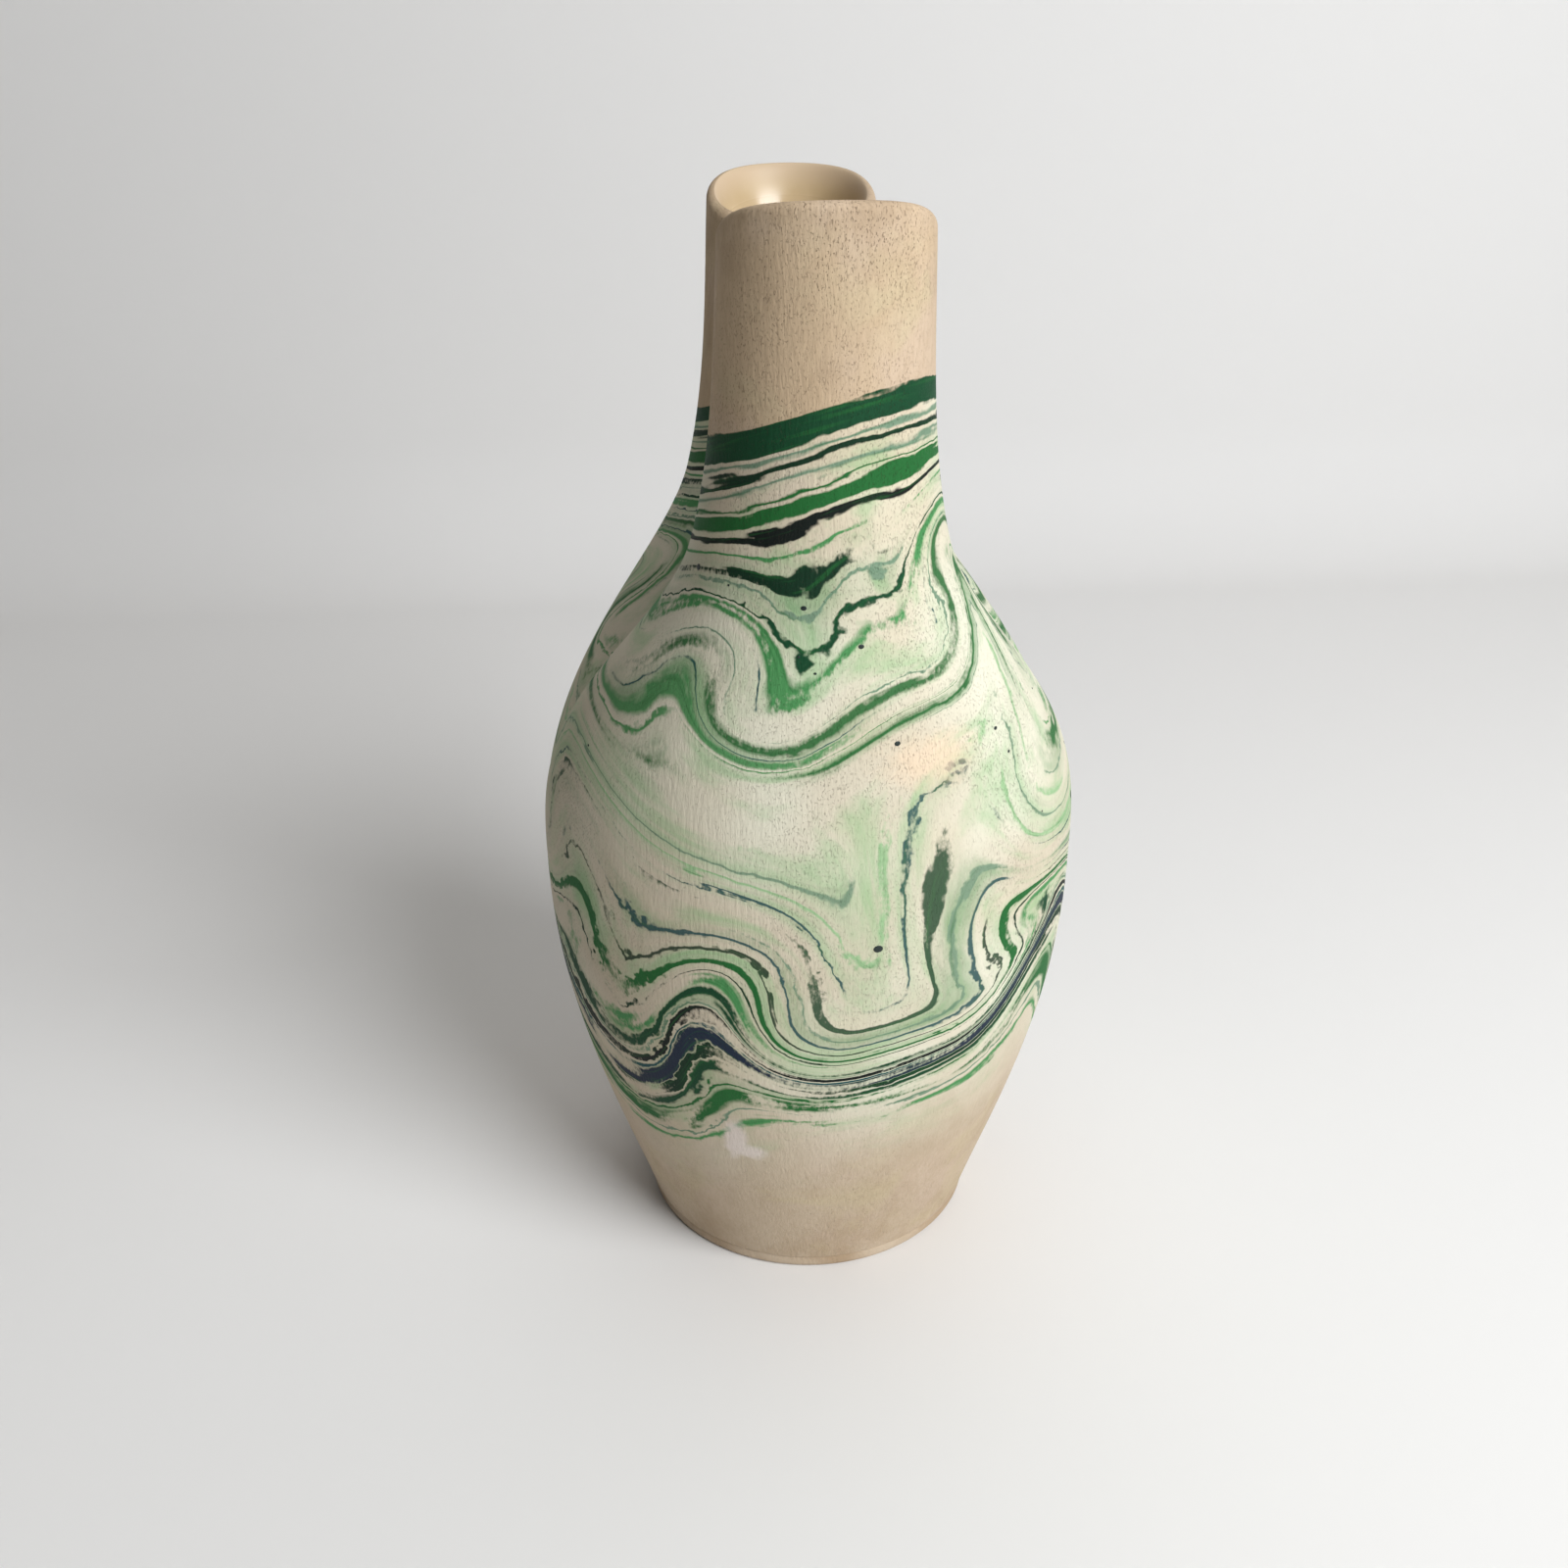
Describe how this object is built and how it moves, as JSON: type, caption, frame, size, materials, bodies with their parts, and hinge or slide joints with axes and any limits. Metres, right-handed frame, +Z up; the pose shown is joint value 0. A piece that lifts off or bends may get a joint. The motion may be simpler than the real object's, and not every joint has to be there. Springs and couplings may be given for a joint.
{
  "type": "wedding vase",
  "caption": "Wedding vase of cast earthenware: a round ovoid body that parts over a saddle into upright spouts with slanted, rounded mouths, glazed inside and marbled outside.",
  "frame": {"origin": "centre of the foot, on the table", "axes": "+Z up; the line through the two spouts lies along Y, the front spout towards -Y"},
  "size_m": [0.0956, 0.0956, 0.189],
  "materials": {
    "foot_clay": "matte unglazed fired clay",
    "floor_clay": "matte unglazed fired clay",
    "body_clay": "matte unglazed fired clay",
    "shoulder_clay": "matte unglazed fired clay",
    "front_spout_clay": "matte unglazed fired clay",
    "rear_spout_clay": "matte unglazed fired clay",
    "clear_glaze": "glossy clear glaze over tan clay"
  },
  "bodies": {
    "root": {"foot_ring": "foot_clay", "floor_disc": "floor_clay", "lower_body": "body_clay", "shoulder": "shoulder_clay", "front_spout": "front_spout_clay", "rear_spout": "rear_spout_clay", "glaze_lining": "clear_glaze"}
  },
  "joints": []
}
